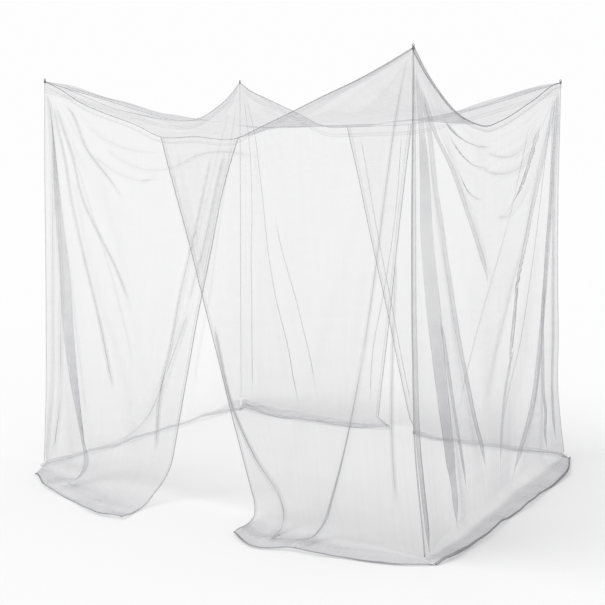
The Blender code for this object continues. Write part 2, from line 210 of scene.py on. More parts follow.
# %% Paths of the broad folds
Fold = namedtuple("Fold", "depth narrow wide path")
FOLDS = named(Fold, {
    "front": [
        (0.02, 0.04, 0.06, [(0.06, 1.7), (0.07, 1.0), (0.04, 0.1)]),
        (0.03, 0.04, 0.08, [(0.1, 1.6), (0.16, 0.95), (0.23, 0.5), (0.3, 0.05), (0.36, -0.15)]),
        (-0.022, 0.05, 0.09, [(0.17, 1.65), (0.28, 1.04), (0.52, 0.49), (0.6, 0.1)]),
        (0.018, 0.05, 0.09, [(0.2, 1.8), (0.36, 1.6), (0.59, 1.3)]),
        (0.022, 0.05, 0.08, [(2.06, 1.8), (1.95, 1.07), (1.8, 0.33), (1.68, -0.08)]),
        (-0.02, 0.05, 0.08, [(1.9, 1.6), (1.6, 0.7), (1.42, 0.1)])],
    "right": [
        (0.028, 0.04, 0.08, [(0.05, 1.75), (0.11, 1.2), (0.19, 0.71), (0.3, 0.09)]),
        (-0.024, 0.05, 0.08, [(0.16, 1.6), (0.32, 1.16), (0.5, 0.65), (0.62, 0.25)]),
        (0.022, 0.05, 0.09, [(0.2, 1.68), (0.46, 1.3), (0.66, 1.0)]),
        (-0.022, 0.05, 0.09, [(1.45, 1.7), (1.21, 1.21), (0.95, 0.8), (0.76, 0.5)]),
        (0.028, 0.05, 0.08, [(1.52, 1.7), (1.41, 1.15), (1.3, 0.76), (1.08, 0.16)]),
        (-0.018, 0.04, 0.06, [(1.54, 1.5), (1.42, 0.9), (1.44, 0.3), (1.4, 0.05)])],
    "back": [
        (0.018, 0.04, 0.07, [(0.08, 1.7), (0.08, 0.9), (0.09, 0.05)]),
        (-0.02, 0.05, 0.08, [(0.13, 1.64), (0.24, 0.98), (0.39, 0.43), (0.52, 0.03)]),
        (0.022, 0.05, 0.08, [(2.02, 1.7), (1.96, 0.9), (1.8, 0.1)]),
        (-0.018, 0.05, 0.08, [(1.85, 1.6), (1.7, 0.9), (1.55, 0.1)])],
    "left": [
        (0.022, 0.05, 0.08, [(0.1, 1.7), (0.2, 1.0), (0.32, 0.1)]),
        (-0.02, 0.05, 0.09, [(0.3, 1.6), (0.52, 0.9), (0.66, 0.15)]),
        (0.022, 0.05, 0.09, [(1.48, 1.65), (1.36, 0.9), (1.15, 0.1)]),
        (-0.018, 0.05, 0.08, [(1.3, 1.5), (1.05, 0.8), (0.92, 0.15)])],
})
print("broad folds:", sum(map(len, FOLDS.values())))

# %% [markdown]
# ## Pleats
#
# Light net also makes sharp pleats, in which the cloth doubles back on itself. A pleat here pushes
# the cloth sideways across its path: with a pinch under 1 it only crowds the threads into a soft
# line, and with a pinch of 3 it lays three layers over each other in a band. The lift parts those
# layers. Widths are given at the top, the middle and the bottom of the path, and the pleat shows
# from one height down to another. Every path in the first table runs the whole way down without
# meeting its neighbours, because the columns of the grid will follow these paths. One row has no
# pinch at all: it only leads columns to where a crease of the second table will be.

# %% Paths of the pleats
Pleat = namedtuple("Pleat", "pinch lift widths shows path")
PLEATS = named(Pleat, {
    "front_left_curtain": [
        (3.2, 0.02, (0.005, 0.0099, 0.0105), (1.93, -0.05), [(0.008, 1.94), (0.045, 1.6), (0.052, 1.2),
         (0.052, 0.85), (0.045, 0.43), (0.03, 0.25), (0.018, 0.08), (0.015, -0.1)]),
        (2.8, 0.02, (0.005, 0.0073, 0.018), (1.75, 0.0), [(0.012, 1.93), (0.055, 1.6), (0.085, 1.2),
         (0.105, 0.85), (0.115, 0.5), (0.105, 0.3), (0.08, 0.1), (0.075, -0.1)]),
        (3.2, 0.026, (0.008, 0.058, 0.034), (1.9, -0.1), [(0.018, 1.92), (0.08, 1.6), (0.12, 1.32),
         (0.158, 1.09), (0.205, 0.72), (0.24, 0.5), (0.278, 0.33), (0.33, 0.12), (0.37, 0.0),
         (0.34, -0.1)]),
        (2.6, 0.02, (0.005, 0.0059, 0.0075), (1.86, 0.4), [(0.03, 1.91), (0.145, 1.6), (0.19, 1.37),
         (0.235, 1.21), (0.29, 1.04), (0.34, 0.9), (0.39, 0.76), (0.47, 0.49), (0.53, 0.25),
         (0.54, -0.2)]),
        (2.5, 0.02, (0.005, 0.0059, 0.0075), (1.85, 0.82), [(0.045, 1.9), (0.2, 1.59), (0.3, 1.36),
         (0.41, 1.19), (0.5, 1.07), (0.58, 0.94), (0.63, 0.4), (0.62, -0.2)]),
        (2.4, 0.02, (0.005, 0.0059, 0.0075), (1.86, 1.33), [(0.1, 1.88), (0.2, 1.8), (0.36, 1.6),
         (0.52, 1.45), (0.62, 1.33), (0.7, 1.0), (0.72, -0.2)]),
        (2.2, 0.02, (0.005, 0.0059, 0.0083), (1.6, 0.15), [(1.13, 1.64), (1.02, 1.25), (0.93, 0.95),
         (0.87, 0.7), (0.81, 0.5), (0.78, 0.25), (0.78, -0.2)]),
        (1.8, 0.016, (0.005, 0.0055, 0.0065), (1.62, 0.85), [(1.2, 1.64), (1.09, 1.25), (1.0, 0.97),
         (0.93, 0.7), (0.87, 0.45), (0.83, 0.2), (0.83, -0.2)])],
    "front_right_curtain": [
        (2.4, 0.02, (0.005, 0.0059, 0.0195), (0.85, -0.1), [(0.85, 1.65), (0.95, 1.37), (1.07, 0.97),
         (1.13, 0.72), (1.22, 0.45), (1.34, 0.25), (1.53, 0.03), (1.58, -0.2)]),
        (0.0, 0.0, (0.01, 0.01, 0.01), (1.6, 1.0), [(0.95, 1.7), (1.12, 1.35), (1.22, 0.97), (1.34, 0.7),
         (1.44, 0.4), (1.6, 0.1), (1.62, -0.2)]),
        (2.6, 0.02, (0.005, 0.0059, 0.024), (1.97, -0.14), [(2.1, 1.98), (2.04, 1.69), (2.01, 1.49),
         (1.95, 1.07), (1.88, 0.67), (1.8, 0.33), (1.73, 0.08), (1.68, -0.1)]),
        (0.9, 0.013, (0.005, 0.0059, 0.0065), (1.2, 0.15), [(2.112, 1.985), (2.07, 1.4), (2.03, 0.75),
         (2.02, 0.2), (2.02, -0.1)])],
    "right_side": [
        (3.0, 0.02, (0.005, 0.0059, 0.0075), (1.95, -0.03), [(0.006, 1.97), (0.014, 1.2), (0.02, 0.6),
         (0.028, 0.24), (0.032, 0.03)]),
        (3.0, 0.022, (0.002, 0.036, 0.022), (1.93, 0.0), [(0.014, 1.95), (0.09, 1.49), (0.105, 1.28),
         (0.125, 1.1), (0.145, 0.94), (0.17, 0.76), (0.205, 0.56), (0.225, 0.44), (0.245, 0.3),
         (0.27, 0.17), (0.3, 0.0)]),
        (1.4, 0.016, (0.005, 0.0055, 0.0075), (0.95, 0.12), [(0.022, 1.93), (0.13, 1.49), (0.18, 1.1),
         (0.25, 0.76), (0.33, 0.52), (0.38, 0.34), (0.42, 0.18), (0.45, 0.0)]),
        (2.6, 0.02, (0.005, 0.0066, 0.0075), (1.88, 0.15), [(0.035, 1.9), (0.14, 1.62), (0.2, 1.48),
         (0.26, 1.35), (0.32, 1.16), (0.37, 1.02), (0.42, 0.88), (0.5, 0.65), (0.58, 0.42), (0.62, 0.32),
         (0.66, 0.0)]),
        (2.4, 0.02, (0.005, 0.0066, 0.0075), (1.85, 0.98), [(0.055, 1.87), (0.18, 1.66), (0.33, 1.48),
         (0.46, 1.3), (0.54, 1.19), (0.65, 1.03), (0.71, 0.85), (0.74, 0.4), (0.76, 0.0)]),
        (1.0, 0.016, (0.005, 0.0079, 0.0083), (0.7, 0.12), [(1.3, 1.74), (1.26, 1.4), (1.17, 1.06),
         (1.08, 0.85), (1.0, 0.67), (0.9, 0.5), (0.84, 0.3), (0.82, 0.0)]),
        (2.2, 0.02, (0.005, 0.0066, 0.0075), (1.9, 0.55), [(1.565, 1.93), (1.45, 1.7), (1.34, 1.45),
         (1.21, 1.21), (1.13, 1.06), (1.06, 0.91), (1.02, 0.8), (0.95, 0.6), (0.89, 0.3), (0.88, 0.0)]),
        (2.6, 0.02, (0.005, 0.0106, 0.021), (1.92, 0.02), [(1.58, 1.94), (1.52, 1.71), (1.46, 1.45),
         (1.41, 1.15), (1.35, 0.95), (1.3, 0.76), (1.23, 0.54), (1.14, 0.31), (1.06, 0.16),
         (0.97, 0.02)]),
        (2.2, 0.016, (0.005, 0.0059, 0.0075), (1.93, 0.02), [(1.592, 1.945), (1.55, 1.66), (1.49, 1.35),
         (1.43, 1.11), (1.39, 0.91), (1.4, 0.71), (1.43, 0.38), (1.45, 0.28), (1.43, 0.17), (1.44, 0.0)]),
        (1.8, 0.016, (0.005, 0.0055, 0.0065), (1.93, 0.05), [(1.605, 1.95), (1.585, 1.66), (1.55, 1.1),
         (1.54, 0.71), (1.54, 0.38), (1.53, 0.17), (1.54, 0.0)])],
    "back_left_curtain": [
        (1.4, 0.009, (0.005, 0.0055, 0.0065), (1.95, 0.02), [(0.02, 2.0), (0.075, 1.6), (0.085, 0.8),
         (0.09, 0.03)]),
        (1.4, 0.01, (0.005, 0.0055, 0.0083), (1.95, 0.02), [(0.04, 1.98), (0.14, 1.62), (0.24, 0.98),
         (0.31, 0.67), (0.39, 0.43), (0.47, 0.09), (0.5, 0.0)]),
        (1.2, 0.01, (0.005, 0.0073, 0.0083), (1.2, 0.1), [(0.14, 1.88), (0.24, 1.4), (0.32, 1.04),
         (0.47, 0.62), (0.6, 0.14), (0.62, 0.0)]),
        (1.4, 0.009, (0.005, 0.0055, 0.0075), (1.7, 0.1), [(1.18, 1.74), (1.14, 1.2), (1.07, 0.8),
         (1.0, 0.45), (0.98, 0.0)])],
    "back_right_curtain": [
        (1.4, 0.009, (0.005, 0.0055, 0.0075), (1.7, 0.08), [(0.88, 1.74), (0.97, 1.3), (1.07, 0.85),
         (1.16, 0.45), (1.26, 0.05)]),
        (1.3, 0.009, (0.005, 0.0066, 0.0083), (1.75, 0.15), [(1.98, 1.92), (1.85, 1.3), (1.68, 0.7),
         (1.56, 0.15), (1.55, 0.0)]),
        (1.4, 0.009, (0.005, 0.0066, 0.0083), (1.9, 0.08), [(2.09, 1.93), (2.0, 1.2), (1.9, 0.6),
         (1.8, 0.08), (1.8, 0.0)])],
    "left_side": [
        (1.4, 0.009, (0.005, 0.0066, 0.0083), (1.9, 0.12), [(0.02, 1.93), (0.12, 1.3), (0.2, 0.8),
         (0.3, 0.12), (0.31, 0.0)]),
        (1.2, 0.009, (0.005, 0.0073, 0.0097), (1.85, 0.35), [(0.06, 1.91), (0.32, 1.3), (0.5, 0.8),
         (0.62, 0.3), (0.64, 0.0)]),
        (1.3, 0.009, (0.005, 0.0073, 0.0097), (1.85, 0.4), [(1.54, 1.92), (1.28, 1.3), (1.08, 0.85),
         (0.94, 0.4), (0.92, 0.0)]),
        (1.4, 0.01, (0.005, 0.0073, 0.0105), (1.95, 0.12), [(1.6, 1.98), (1.46, 1.3), (1.34, 0.75),
         (1.16, 0.12), (1.15, 0.0)])],
})

# %% Pleats that cross others, so that the grid does not follow them
CROSSING = named(Pleat, {
    "front_left_curtain": [
        (2.6, 0.012, (0.004, 0.022, 0.014), (1.8, 0.1), [(0.018, 1.92), (0.08, 1.6), (0.12, 1.32),
         (0.158, 1.09), (0.2, 0.72), (0.225, 0.5), (0.255, 0.33), (0.3, 0.12)]),
        (1.6, 0.03, (0.01, 0.018, 0.02), (0.9, 0.14), [(0.99, 0.9), (0.91, 0.72), (0.79, 0.47),
         (0.71, 0.34), (0.53, 0.21), (0.3, 0.12)]),
        (0.9, 0.02, (0.008, 0.011, 0.01), (1.62, 1.02), [(0.9, 1.64), (0.96, 1.4), (1.02, 1.2),
         (1.07, 1.0)]),
        (0.9, 0.018, (0.008, 0.01, 0.01), (1.55, 1.0), [(0.84, 1.64), (0.92, 1.4), (0.99, 1.18),
         (1.05, 0.98)])],
    "right_side": [
        (2.6, 0.01, (0.003, 0.018, 0.01), (1.7, 0.2), [(0.014, 1.95), (0.09, 1.49), (0.105, 1.28),
         (0.125, 1.1), (0.145, 0.94), (0.17, 0.76), (0.205, 0.56), (0.225, 0.44), (0.245, 0.3),
         (0.27, 0.17)]),
        (1.0, 0.026, (0.01, 0.016, 0.014), (1.74, 1.3), [(1.31, 1.74), (1.13, 1.5), (1.0, 1.38),
         (0.85, 1.28)])],
    "front_right_curtain": [
        (0.9, 0.02, (0.008, 0.011, 0.01), (1.62, 0.95), [(1.2, 1.66), (1.13, 1.42), (1.07, 1.2),
         (1.02, 0.98), (1.01, 0.9)])],
})

# %% Swags, which run sideways: their paths go from low to high along the wall
SWAGS = named(Pleat, {
    "right_side": [
        (0.8, 0.022, (0.008, 0.014, 0.007), (0.22, 0.76), [(0.22, 1.755), (0.28, 1.715), (0.36, 1.675),
         (0.46, 1.64), (0.56, 1.625), (0.76, 1.625)]),
        (0.8, 0.014, (0.008, 0.014, 0.007), (0.27, 0.7), [(0.27, 1.7), (0.33, 1.645), (0.41, 1.59),
         (0.5, 1.55), (0.7, 1.525)]),
        (0.8, 0.011, (0.009, 0.014, 0.008), (0.36, 0.66), [(0.36, 1.54), (0.43, 1.46), (0.52, 1.41),
         (0.66, 1.39)]),
        (0.8, 0.02, (0.007, 0.013, 0.008), (0.66, 1.34), [(0.66, 1.6), (0.86, 1.575), (1.0, 1.59),
         (1.14, 1.64), (1.26, 1.715), (1.34, 1.775)]),
        (0.8, 0.02, (0.008, 0.014, 0.008), (0.62, 1.3), [(0.62, 1.525), (0.8, 1.5), (0.96, 1.51),
         (1.1, 1.55), (1.22, 1.62), (1.3, 1.685)]),
        (0.8, 0.018, (0.008, 0.014, 0.009), (0.76, 1.22), [(0.76, 1.3), (0.92, 1.31), (1.06, 1.38),
         (1.16, 1.455), (1.22, 1.51)])],
    "front_left_curtain": [
        (0.8, 0.016, (0.006, 0.012, 0.006), (0.42, 1.1), [(0.42, 1.64), (0.56, 1.56), (0.7, 1.52),
         (0.84, 1.52), (0.96, 1.55), (1.1, 1.6)]),
        (0.8, 0.014, (0.006, 0.012, 0.006), (0.34, 0.84), [(0.34, 1.62), (0.46, 1.54), (0.6, 1.48),
         (0.7, 1.465), (0.84, 1.48)]),
        (0.8, 0.024, (0.006, 0.012, 0.007), (0.66, 0.84), [(0.66, 1.455), (0.74, 1.475), (0.84, 1.515)]),
        (0.8, 0.014, (0.006, 0.012, 0.006), (0.3, 0.84), [(0.3, 1.74), (0.44, 1.665), (0.58, 1.62),
         (0.7, 1.6), (0.84, 1.6)])],
    "front_right_curtain": [
        (0.8, 0.018, (0.006, 0.011, 0.006), (0.9, 1.4), [(0.9, 1.54), (1.02, 1.585), (1.16, 1.6),
         (1.3, 1.585), (1.4, 1.57)])],
})
print("pleats:", sum(map(len, PLEATS.values())), "crossing:", sum(map(len, CROSSING.values())),
      "swags:", sum(map(len, SWAGS.values())))

# %% [markdown]
# ## The shape of a hanging panel
#
# One function gives the place of any point of a panel. The thread runs down from the seam, turns
# onto the floor on a quarter circle and lies flat. Folds push it out of the wall's plane, and
# pleats also push it sideways. All of it works on whole arrays, so a fine grid takes no time.


# %% Broad folds as a function
def fold_push(wall_name, along, height):
    """How far the broad folds of a wall push its cloth outwards."""
    total = np.zeros_like(along)
    for fold in FOLDS[wall_name]:
        top, bottom = fold.path[0][1], fold.path[-1][1]
        run = (top - height) / (top - bottom)
        middle = through([(-h, a) for a, h in fold.path], -height)
        width = fold.narrow + (fold.wide - fold.narrow) * np.clip(run, 0.0, 1.0)
        fade = eased((run + 0.15) / 0.3) * eased((1.15 - run) / 0.3)
        total += fold.depth * fade * np.exp(-(((along - middle) / width) ** 2))
    return total


# %% Pleats as a function
OFF_THE_FLOOR = 0.45  # share of a pleat's lift that also raises it where it lies on the floor
CLOSEST = 2.3  # how much more closely threads lie in the sharpest pleats
SHARP = 0.018  # width at which that has mostly gone


def pleat_shift(piece, along, height):
    """What the pleats add at a place: along the wall, upwards, outwards, off the floor, and how
    much more closely the threads lie."""
    sideways, upwards, outwards, raised, crowd = (np.zeros_like(along) for _ in range(5))
    for table, falls in ((PLEATS, True), (CROSSING, True), (SWAGS, False)):
        for pleat in table.get(piece, []):
            rows = [(-h, a) for a, h in pleat.path] if falls else pleat.path
            at, other = (-height, along) if falls else (along, height)
            first, last = (-pleat.shows[0], -pleat.shows[1]) if falls else pleat.shows
            run = (at - first) / (last - first)
            middle = through(rows, at)
            slope = (through(rows, at + 0.01) - through(rows, at - 0.01)) / 0.02
            steep = np.sqrt(1 + slope**2)
            width = np.interp(run, [0.0, 0.5, 1.0], pleat.widths)
            q = np.clip((other - middle) / (width * steep), -6, 6)
            rise, die = (0.08, 0.16) if falls else (0.10, 0.14)
            fade = eased((at - first) / rise) * eased((last - at) / die)
            wave = q * np.exp(-(q**2)) * fade
            shift = -pleat.pinch * width * wave
            if falls:
                sideways += shift / steep
                upwards += shift * slope / steep
            else:
                sideways += -shift * slope / steep
                upwards += shift / steep
            lift = pleat.lift * np.interp(run, [0.0, 0.1, 1.0], [0.5, 1.0, 1.0])
            outwards += -lift * wave
            raised += lift * OFF_THE_FLOOR * fade * np.exp(-(q**2) / 3)
            closer = CLOSEST * min(pleat.pinch, 1.0) * np.exp(-((width / SHARP) ** 2))
            crowd += closer * fade * np.exp(-1.3 * q**2)
    return sideways, upwards, outwards, raised, crowd


# %% Smaller movement of the cloth
OVERLAP_FROM, OVERLAP_TO, OVERLAP_EASE = 0.70, 1.35, 0.15  # along a long wall
FAN_DEPTH, FAN_REACH = 0.0055, 0.8
RIPPLE_DEPTH, RIPPLE_LENGTH = 0.0016, 0.052


def overlapped(panel, along, height):
    """1 where the two curtains of a long side pass each other, easing to 0 beside that."""
    if panel.wall not in ("front", "back"):
        return 0.0
    inside = eased((along - OVERLAP_FROM) / OVERLAP_EASE) * eased((OVERLAP_TO - along) / OVERLAP_EASE)
    return inside * eased((height - 0.2) / 0.4)


def fan(wall, along, height, seed):
    """Fine tension lines that fan out from the two top corners of a wall."""
    total = np.zeros_like(along)
    for place, peak, turn in ((0.0, wall.seam[0][1], 1.0), (wall.length, wall.seam[-1][1], -1.0)):
        beside = (along - place) * turn
        below = np.maximum(peak - height, 0.0)
        away = np.sqrt(beside**2 + below**2) + 0.001
        angle = np.arctan2(beside, below)
        finer = np.sin(47 * angle + 2.1 * seed) + np.sin(19 * angle - seed)
        rays = np.sin(31 * angle + seed) + 0.6 * finer
        fade = np.exp(-((away / FAN_REACH) ** 2)) * eased(angle / 0.15)
        total += rays * np.minimum(away, 0.5) * FAN_DEPTH * fade
    return total


def swag_ripples(wall, along, height, drop, seed):
    """Faint curved ripples under the slack middle of a seam."""
    middle = np.sin(math.pi * np.clip(along / wall.length, 0, 1)) ** 2
    beat = math.tau * drop / RIPPLE_LENGTH + 2.2 * uneven(along, height, 0.6, seed)
    return RIPPLE_DEPTH * np.sin(beat) * middle * np.exp(-(((drop - 0.16) / 0.13) ** 2))


# %% Base shape of a panel
def corner_distance(panel, across):
    """Distance of a thread from the panel's corner seams."""
    width = panel.stations[-1].seam - panel.stations[0].seam
    near = np.full_like(across, np.inf)
    if panel.corner in ("first", "both"):
        near = np.minimum(near, across * width)
    if panel.corner in ("last", "both"):
        near = np.minimum(near, (1 - across) * width)
    return near


LEAST_FLAT = 0.012  # length of cloth that lies flat at every hem
Thread = namedtuple("Thread", "along out height level length angle hang turned side")


def hanging(panel, across, down):
    """Where the plain panel is, before its folds: along, outwards, height, and height along the cloth."""
    wall = WALLS[panel.wall]
    rows = panel.stations
    seam = rows[0].seam + across * (rows[-1].seam - rows[0].seam)
    foot, hem, reach, bend, flare = (
        through([(row.seam, row[i]) for row in rows], seam) for i in range(1, len(Station._fields)))
    top = through(wall.seam, seam / wall.length) - SEAM_GAP
    side = 1 if rows[0].reach > 0 else -1
    bend = np.minimum(bend, np.abs(reach) - LEAST_FLAT)
    floor_run = np.abs(reach - flare) - bend
    hang = top - FLOOR_GAP - bend
    turned = hang + bend * math.pi / 2
    row = down * ROWS
    length = np.where(row <= HANG_ROWS, hang * (np.minimum(row, HANG_ROWS) / HANG_ROWS) ** CROWDED, np.where(
        row <= HANG_ROWS + BEND_ROWS, hang + (turned - hang) * (row - HANG_ROWS) / BEND_ROWS,
        turned + floor_run * (row - HANG_ROWS - BEND_ROWS) / FLOOR_ROWS))
    angle = np.clip((length - hang) / bend, 0.0, math.pi / 2)
    lying = np.maximum(length - turned, 0.0)
    out = side * (bend * (1 - np.cos(angle)) + lying)
    height = top - np.minimum(length, hang) - bend * np.sin(angle)
    fall = np.minimum(length / (hang + bend), 1.0)
    along = seam + (foot - seam) * fall**panel.sweep
    along = along + (hem - foot) * np.maximum(length - hang, 0.0) / (turned + floor_run - hang)
    out = out + flare * fall**3
    return Thread(along, out, height, height - lying, length, angle, hang, turned, side)


# %% [markdown]
# ## Columns that follow the pleats
#
# A sharp pleat only looks sharp if the grid has many narrow cells across it. So the columns are
# not spread evenly: each pleat gets its own column, which is moved along until it lies on the
# pleat's path at every height, and the columns between two pleats crowd towards both of them.


# %% Column placing
LEAST_GAP = 0.004  # between two pleats, as a share of the panel's width
LEAST_CELLS = 10  # between two pleats
TOWARDS_PLEATS = 0.80  # how strongly columns crowd towards the pleats beside them


def pleat_columns(panel):
    """For each row of the grid, the share of the panel's width at which each column lies."""
    down = np.linspace(0.0, 1.0, ROWS + 1)
    first = hanging(panel, np.zeros_like(down), down).along
    last = hanging(panel, np.ones_like(down), down).along
    knots = [np.zeros_like(down)]
    for pleat in PLEATS[panel.name]:
        share = np.full_like(down, 0.5)
        for _ in range(8):
            at = hanging(panel, share, down)
            wanted = through([(-h, a) for a, h in pleat.path], -at.level)
            share = np.clip(share + 0.8 * (wanted - at.along) / (last - first), 0.0, 1.0)
        knots.append(share)
    knots.append(np.ones_like(down))
    for i in range(1, len(knots) - 1):
        knots[i] = np.clip(knots[i], knots[i - 1] + LEAST_GAP, 1 - LEAST_GAP * (len(knots) - 1 - i))
    widths = np.array([np.mean(b - a) for a, b in zip(knots, knots[1:])]) ** 0.6
    across = COLUMNS[panel.wall]
    cells = np.maximum(np.round(widths / widths.sum() * across), LEAST_CELLS).astype(int)
    cells[np.argmax(cells)] += across - cells.sum()
    columns = [knots[0][:, None]]
    for left, right, count in zip(knots, knots[1:], cells):
        share = np.linspace(0.0, 1.0, count + 1)[1:]
        share = share - TOWARDS_PLEATS * np.sin(math.tau * share) / math.tau
        columns.append(left[:, None] + (right - left)[:, None] * share[None, :])
    print(panel.name, "cells between pleats:", cells.tolist())
    return np.hstack(columns)


# %% [markdown]
# ## Corners that are pulled out of line
#
# The corner seams are not quite upright. At the top the sagging roof draws the corners inwards a
# little, and near the floor the puddle draws the cloth outwards. This is one gentle push of
# everything near a corner, so that the panels which meet there stay together.

# %% Corner pulls
Pull = namedtuple("Pull", "x_side y_side rows")  # rows are height, push along X, push along Y
PULLS = [
    Pull(-1, -1, [(0.0, -0.020, 0.0), (0.33, 0.000, 0.0), (0.84, 0.012, 0.0), (1.60, 0.014, 0.004),
                  (1.95, 0.018, 0.008)]),
    Pull(1, -1, [(0.0, 0.050, 0.012), (0.10, 0.044, 0.005), (0.24, 0.030, 0.0), (0.40, 0.012, 0.0),
                 (0.80, -0.004, 0.0), (2.00, -0.010, 0.0)]),
    Pull(1, 1, [(0.0, 0.020, 0.040), (0.17, 0.005, 0.020), (0.39, 0.0, -0.020), (0.61, 0.0, -0.020),
                (0.96, 0.0, -0.045), (1.45, -0.004, -0.045), (1.80, -0.010, -0.018),
                (1.95, -0.012, -0.010)]),
]
PULL_SPREAD = 0.20  # how far from a corner its pull still shows


def placed(x, y, z):
    """Places in the room, after the corner pulls, from places in the roof's own plan."""
    move_x, move_y = np.zeros_like(z), np.zeros_like(z)
    for pull in PULLS:
        away = np.hypot(x - pull.x_side * LENGTH / 2, y - pull.y_side * WIDTH / 2)
        weight = np.exp(-((away / PULL_SPREAD) ** 2))
        move_x += weight * through([(row[0], row[1]) for row in pull.rows], z)
        move_y += weight * through([(row[0], row[2]) for row in pull.rows], z)
    return np.column_stack((MIDDLE.x + (x + move_x), MIDDLE.y + (y + move_y), z))


def on_wall(wall, along, out, height):
    """Places in the room of points that are given along, outside and up a wall."""
    x = wall.start[0] + wall.along[0] * along + wall.outward[0] * out
    y = wall.start[1] + wall.along[1] * along + wall.outward[1] * out
    return placed(x, y, height)


# %% Place of a panel's cloth
WAVES = 0.0035  # depth of the uneven waves all over a panel
CRUMPLE, FINE_CRUMPLE = 0.0050, 0.0015  # height of the crumples on the floor
LYING_HEIGHT = 0.006  # mean height of the cloth above the floor
SCALLOP = 0.009  # how far the hem's outline wanders


def panel_place(panel, across, down):
    """Places of a panel's cloth, across its width and down its length, both as shares."""
    wall = WALLS[panel.wall]
    at = hanging(panel, across, down)
    near = corner_distance(panel, across)
    away = eased(at.length / RAMP)
    seed = sum(ord(letter) for letter in panel.name) % 17
    single = 1 - 0.8 * overlapped(panel, at.along, at.height)
    parted = panel.layer * eased(near / RAMP) * (TOP_LAYER + (1 - TOP_LAYER) * away)
    push = fold_push(panel.wall, at.along, at.level) * away * eased(near / RAMP) * single
    small = fan(wall, at.along, at.level, seed) * single
    small = small + WAVES * uneven(at.along, at.level * 0.5, 0.34, seed)
    small = small + swag_ripples(wall, at.along, at.level, at.length, seed)
    push = push + small * eased(at.length / 0.06) * eased(near / 0.10)
    sideways, upwards, outwards, raised, _ = pleat_shift(panel.name, at.along, at.level)
    kept = eased(near / 0.010) * eased(at.length / 0.04)
    flat, upright = np.sin(at.angle), np.cos(at.angle)
    crumple = CRUMPLE * uneven(at.along * 0.8, at.level * 1.6, 0.26, seed + 2.0)
    crumple = crumple + FINE_CRUMPLE * uneven(at.along, at.level * 1.5, 0.12, seed + 1.0) + LYING_HEIGHT
    along = at.along + sideways * kept
    out = at.out + parted + (push + outwards * kept) * upright - at.side * upwards * kept * flat
    scallop = SCALLOP * uneven(at.along, 0.0 * at.along, 0.42, seed + 3.0) * eased(near / 0.10)
    out = out + at.side * scallop * eased((at.length - at.turned) / 0.05)
    lift = 0.4 * np.abs(push) + (raised + outwards) * kept + crumple * eased(near / 0.05)
    height = at.height + upwards * kept * upright + lift * flat * eased((at.length - at.hang) / 0.03)
    along = along + CORNER_GAP * np.clip(1 - 2 * across, -1, 1)
    places = on_wall(wall, along, out, height)
    places[:, 2] = np.maximum(places[:, 2], FLOOR_GAP)
    return places


def panel_crowd(panel, across, down):
    """How much more closely than usual the threads lie, at places of a panel."""
    at = hanging(panel, across, down)
    return pleat_shift(panel.name, at.along, at.level)[-1] * eased(at.length / 0.04)


# %% [markdown]
# ## Finishes
#
# The net is mostly air. Its threads cover about a fifteenth of it, and that share grows as the
# sheet turns away from the eye, because one looks along more thread. So the finish is a mix of
# nothing and of thread, with the open share raised to the power of the slant. The thread is white,
# but its colour is a painted shade of pale grey, which stands in for the shade that the threads
# cast on each other. The finish is also made denser, and so darker, towards its hem, and not the
# same in every panel, so each panel has its own numbers. In a sharp pleat the threads lie closer
# too, which each sheet notes point by point under the name crowd. Thread lets some light through,
# so part of it is translucent.


# %% Colour and node helpers
def linear(hex_colour):
    """Linear colour of an sRGB hex string."""
    parts = [int(hex_colour[i:i + 2], 16) / 255 for i in (1, 3, 5)]
    return [c / 12.92 if c <= 0.04045 else ((c + 0.055) / 1.055) ** 2.4 for c in parts] + [1.0]


def add_node(tree, kind, settings=None, **inputs):
    """A node with its settings and inputs. An input may be a value or another node's socket."""
    node = tree.nodes.new(kind)
    for name, value in (settings or {}).items():
        setattr(node, name, value)
    for name, value in inputs.items():
        socket = node.inputs[int(name[1:])] if name[0] == "i" and name[1:].isdigit() else node.inputs[name]
        if isinstance(value, bpy.types.NodeSocket):
            tree.links.new(value, socket)
        else:
            socket.default_value = value
    return node


def calculate(tree, operation, first, second=0.0, clamp=False):
    """The output of one Math node."""
    settings = {"operation": operation, "use_clamp": clamp}
    return add_node(tree, "ShaderNodeMath", settings, i0=first, i1=second).outputs[0]


# %% Sheer net
WARP_SCALE, WEFT_SCALE = (38.0, 1.6, 1.0), (1.4, 26.0, 1.0)  # streaks a metre of cloth
DENSER_UP_TO = 1.3  # metres above the hem
HEM_DEPTH, STITCH_AT, EDGE_LINE = 0.022, 0.017, 0.004  # metres in from the edge


